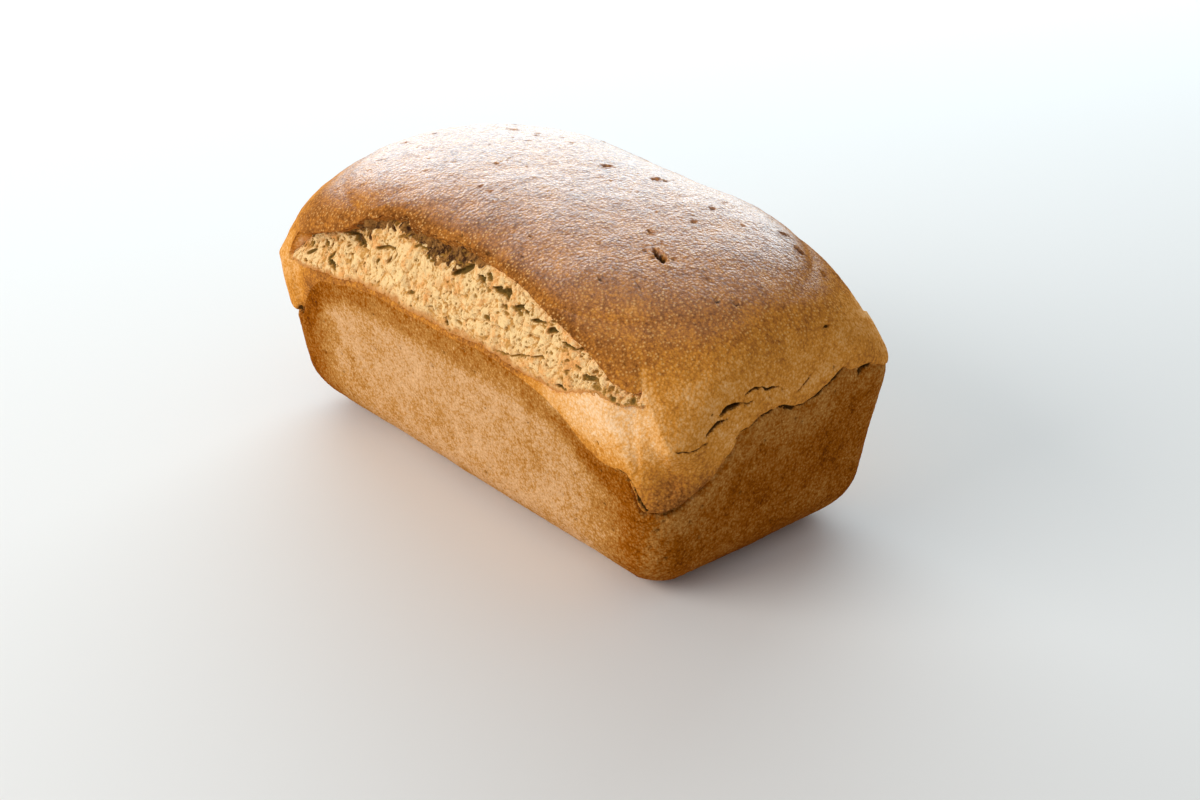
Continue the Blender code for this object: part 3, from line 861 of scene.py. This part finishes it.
crustLook = {
    # colours from the palest crust to the darkest
    "crown": [(0.00, (0.94, 0.62, 0.35)), (0.25, (0.83, 0.43, 0.145)), (0.50, (0.66, 0.26, 0.034)),
              (0.75, (0.42, 0.15, 0.027)), (1.00, (0.19, 0.062, 0.012))],
    # the walls' darker stops run to amber with almost no blue: partly the crust's colour, partly painted
    # shade for the +X end
    "walls": [(0.00, (0.80, 0.48, 0.24)), (0.25, (0.65, 0.365, 0.165)), (0.40, (0.53, 0.245, 0.060)),
              (0.50, (0.44, 0.19, 0.040)), (0.75, (0.30, 0.08, 0.001)), (1.00, (0.14, 0.032, 0.001))],
    # the colour after the flecks is painted shade for the slits, holes, pores and crease fold
    "flecks": (0.78, 0.45, 0.16, 1), "recessShadeColour": (0.105, 0.045, 0.008, 1),
    "patchSize": 8 * mm, "mottleSize": 2.2 * mm, "fineSize": 0.7 * mm, "granuleSize": 1.3 * mm,
    "grainHeight": 0.55 * mm,
    "roughness": 0.95, "specular": 0.02,
    "glazeRoughness": 0.36, "glazeSpecular": 1.0,
}


def crustMaterial(name, colours, shiny):
    look = crustLook
    material, shader, start = newMaterial(name)
    place = start.node("ShaderNodeTexCoord", output=3)
    brown, crack, speckled = [field(start, each) for each in ("browning", "crack", "speckled")]
    patches = grains(start, place, look["patchSize"], 3.0)
    mottle = grains(start, place, look["mottleSize"], 3.0, 0.6)
    fine = grains(start, place, look["fineSize"], 2.0, 0.6)
    granule = start.node("ShaderNodeTexVoronoi", {"feature": "F1"},
                         {"Vector": place, "Scale": 1 / look["granuleSize"]})
    shade = brown + (patches - 0.5) * 0.35 + (mottle - 0.5) * 0.5
    shade = shade + (fine - 0.5) * 0.65 + (granule - 0.45) * 0.3
    colour = shade.node("ShaderNodeValToRGB", {"stops": colours}, {"Fac": shade})
    bright = (1 - granule.between(0.12, 0.42)) * mottle.between(0.40, 0.55)
    bright = bright * brown.between(0.3, 0.6) * speckled
    colour = bright.blend(colour, look["flecks"])
    # painted shade in the slits, holes, pores and crease fold
    colour = (crack + (fine - 0.5) * 0.9).between(0.25, 0.85).blend(colour, look["recessShadeColour"])
    shader.inputs["Specular IOR Level"].default_value = look["specular"]
    shader.inputs["Roughness"].default_value = look["roughness"]
    link(material, colour, shader, "Base Color")
    height = mottle * 0.5 + fine * 0.4 - granule * 0.5
    bump = height.node("ShaderNodeBump", {}, {
        "Height": height, "Distance": look["grainHeight"], "Strength": 1.0})
    link(material, bump, shader, "Normal")
    if shiny:
        # a thin glaze on top of the crown
        glaze = start.node("ShaderNodeBsdfPrincipled", {}, {
            "Base Color": colour, "Roughness": look["glazeRoughness"] + (mottle - 0.5) * 0.5,
            "Specular IOR Level": look["glazeSpecular"], "Normal": bump})
        matte = Wire(start.tree, shader.outputs[0])
        both = start.node("ShaderNodeMixShader", {}, {0: field(start, "gloss"), 1: matte, 2: glaze})
        link(material, both, material.node_tree.nodes["Material Output"], "Surface")
    return material


crumbLook = {
    "pale": (0.96, 0.66, 0.31, 1), "golden": (0.87, 0.42, 0.13, 1), "shaded": (0.63, 0.31, 0.075, 1),
    "foot": (0.60, 0.26, 0.07, 1), "char": (0.055, 0.018, 0.004, 1), "toast": (0.42, 0.19, 0.045, 1),
    # the last two colours are painted shade for the pores and crevices
    "hollow": (0.38, 0.185, 0.032, 1), "deepPoreShade": (0.17, 0.095, 0.017, 1),
    "patchSize": 7 * mm, "spotSize": 2.4 * mm, "crumbSize": 1.5 * mm, "fineSize": 0.8 * mm,
    "strandSize": 3 * mm, "grainHeight": 0.9 * mm,
    "roughness": 0.85, "specular": 0.15,
}


def crumbMaterial():
    look = crumbLook
    material, shader, start = newMaterial("tornCrumb")
    place = start.node("ShaderNodeTexCoord", output=3)
    hollow, crest, share, burnt, cleft = [
        field(start, each) for each in ("hollow", "crest", "share", "burnt", "cleft")]
    patches = grains(start, place, look["patchSize"], 3.0)
    spots = grains(start, place, look["spotSize"], 3.0, 0.6)
    crumbs = grains(start, place, look["crumbSize"], 2.0, 0.6)
    fine = grains(start, place, look["fineSize"], 2.0, 0.6)
    golden = crest * 0.7 + (patches - 0.5) * 2.6 + (spots - 0.5) * 1.6 + (fine - 0.5) * 1.2 - 0.1
    colour = golden.between(0.1, 0.9).blend(look["pale"], look["golden"])
    shaded = cleft + (spots - 0.5) * 0.8 + (crumbs - 0.5) * 1.7 + (fine - 0.5) * 0.5
    colour = shaded.between(0.3, 1.05).blend(colour, look["shaded"])
    foot = 1 - (share + (patches - 0.5) * 0.3 + (spots - 0.5) * 0.2).between(0.0, 0.14)
    colour = foot.blend(colour, look["foot"])
    strands = start.node("ShaderNodeVectorMath", {"operation": "MULTIPLY"}, {0: place, 1: (1.0, 1.0, 0.4)})
    streaks = grains(start, strands, look["strandSize"], 3.0, 0.6)
    roof = (streaks * 0.7 + fine * 0.3).between(0.38, 0.62).blend(look["char"], look["toast"])
    colour = (burnt * (streaks * 0.9 + 0.55)).between(0.35, 0.75).blend(colour, roof)
    # painted shade in the pores and crevices, darkest in the deepest
    colour = (hollow + (fine - 0.5) * 0.3).between(0.12, 0.55).blend(colour, look["hollow"])
    colour = (hollow + (fine - 0.5) * 0.2).between(0.55, 0.95).blend(colour, look["deepPoreShade"])
    shader.inputs["Roughness"].default_value = look["roughness"]
    shader.inputs["Specular IOR Level"].default_value = look["specular"]
    link(material, colour, shader, "Base Color")
    height = fine * 0.7 + crumbs * 0.8 + spots * 0.6
    bump = height.node("ShaderNodeBump", {}, {
        "Height": height, "Distance": look["grainHeight"], "Strength": 1.0})
    link(material, bump, shader, "Normal")
    return material


# pale floor, soft lights and camera
stage = {
    "camera": (580.5 * mm, -481.05 * mm, 420.3 * mm),
    "look": (-0.6718, 0.5760, -0.4657),
    "lens": 62.8, "sensor": 36,
    "floor": (0.80, 0.78, 0.75), "floorRoughness": 0.7, "floorHalfSize": 4,
    "sky": (0.95, 0.97, 1.0), "skyStrength": 0.47,
    "lights": {
        "window": {"place": (-1.35, 1.15, 0.62), "size": (2.4, 1.1), "power": 44,
                   "colour": (0.77, 0.92, 1.0)},
        "side": {"place": (-0.45, -1.35, 0.85), "size": (1.3, 0.9), "power": 18.5,
                 "colour": (1.0, 0.98, 0.95)},
    },
    "lightsAimAt": (0, 0, 0.06),
}


def plainMaterial(name, colour, roughness):
    material, shader, _ = newMaterial(name)
    shader.inputs["Base Color"].default_value = (*colour, 1)
    shader.inputs["Roughness"].default_value = roughness
    return material


def makeStage():
    bm = bmesh.new()
    bmesh.ops.create_grid(bm, x_segments=1, y_segments=1, size=stage["floorHalfSize"])
    mesh = bpy.data.meshes.new("floor")
    bm.to_mesh(mesh)
    bm.free()
    mesh.materials.append(plainMaterial("paleFloor", stage["floor"], stage["floorRoughness"]))
    floor = bpy.data.objects.new("floor", mesh)
    bpy.context.scene.collection.objects.link(floor)
    world = bpy.data.worlds.new("studio")
    bpy.context.scene.world = world
    world.use_nodes = True
    sky = world.node_tree.nodes["Background"]
    sky.inputs["Color"].default_value = (*stage["sky"], 1)
    sky.inputs["Strength"].default_value = stage["skyStrength"]
    bpy.context.scene.view_settings.view_transform = "Standard"


def softLight(name, look):
    data = bpy.data.lights.new(name, "AREA")
    data.shape = "RECTANGLE"
    data.size, data.size_y = look["size"]
    data.energy = look["power"]
    data.color = look["colour"]
    light = bpy.data.objects.new(name, data)
    light.location = look["place"]
    aim = Vector(stage["lightsAimAt"]) - Vector(look["place"])
    light.rotation_euler = aim.to_track_quat("-Z", "Y").to_euler()
    bpy.context.scene.collection.objects.link(light)


def makeCamera():
    data = bpy.data.cameras.new("camera")
    data.lens = stage["lens"]
    data.sensor_width = stage["sensor"]
    camera = bpy.data.objects.new("camera", data)
    camera.location = stage["camera"]
    camera.rotation_euler = Vector(stage["look"]).to_track_quat("-Z", "Y").to_euler()
    bpy.context.scene.collection.objects.link(camera)
    bpy.context.scene.camera = camera


def finishPiece(piece, material):
    piece.data.materials.clear()
    piece.data.materials.append(material)
    piece.data.shade_smooth()
    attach(piece, "root")


print("stage")
makeStage()
for name, look in stage["lights"].items():
    softLight(name, look)
makeCamera()
print("crust")
walls, crown = makeCrust()
print("crumb")
torn = makeCrumb()
print("materials")
finishPiece(walls, crustMaterial("tinBakedCrust", crustLook["walls"], False))
finishPiece(crown, crustMaterial("crownCrust", crustLook["crown"], True))
finishPiece(torn, crumbMaterial())
for piece in (crown, walls, torn):
    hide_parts("loaf")
